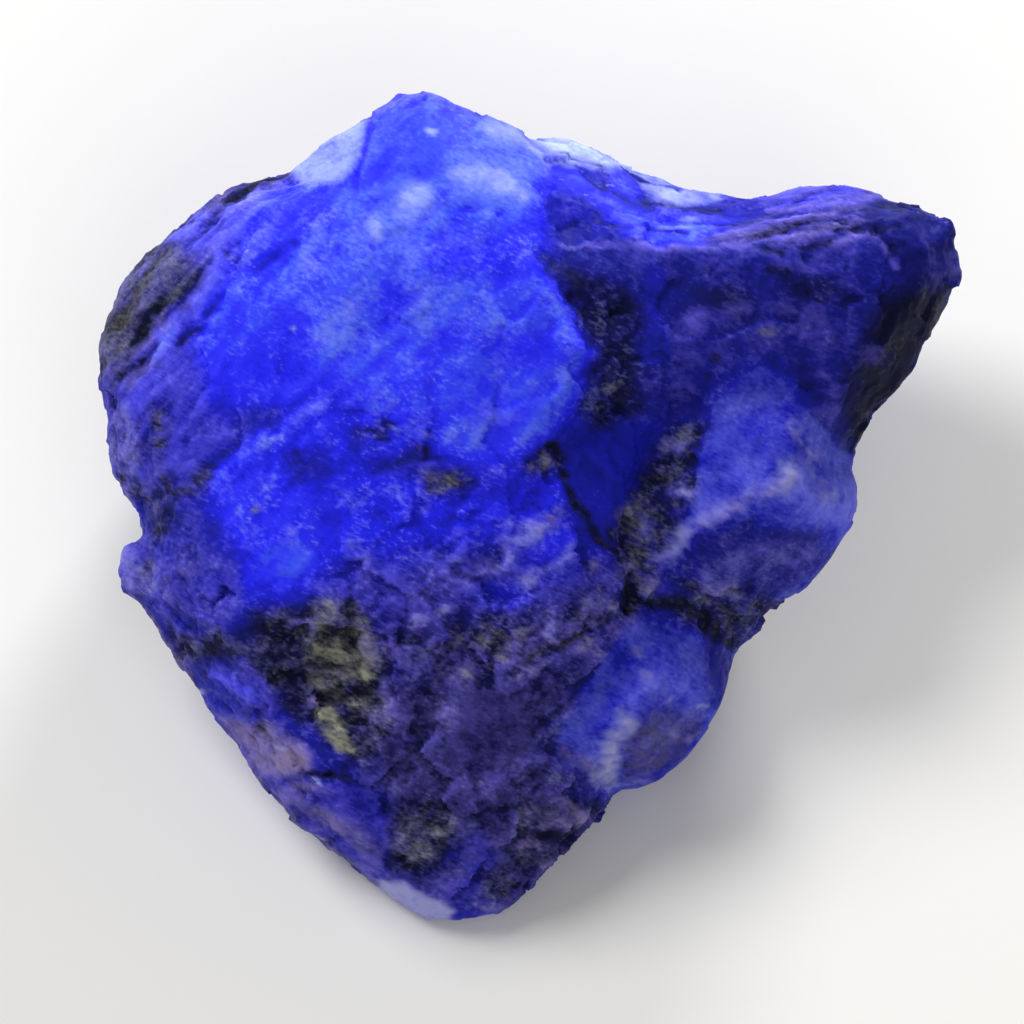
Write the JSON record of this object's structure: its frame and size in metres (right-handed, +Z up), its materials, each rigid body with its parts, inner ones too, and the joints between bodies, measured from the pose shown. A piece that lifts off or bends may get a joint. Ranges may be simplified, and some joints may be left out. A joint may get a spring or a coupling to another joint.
{
  "type": "rough tanzanite",
  "caption": "Lump of rough blue-violet tanzanite with dark matrix patches, lobed on one side, resting on a flat cleavage face.",
  "frame": {"origin": "centre of the bounding box's bottom, on the surface the stone rests on", "axes": "+X across the broad blue face towards the pointed wing, +Y away from the side that face leans back from, +Z up"},
  "size_m": [0.0474, 0.0426, 0.0262],
  "materials": {
    "tanzanite": "satin"
  },
  "bodies": {
    "root": {"rough_tanzanite": "tanzanite"}
  },
  "joints": []
}
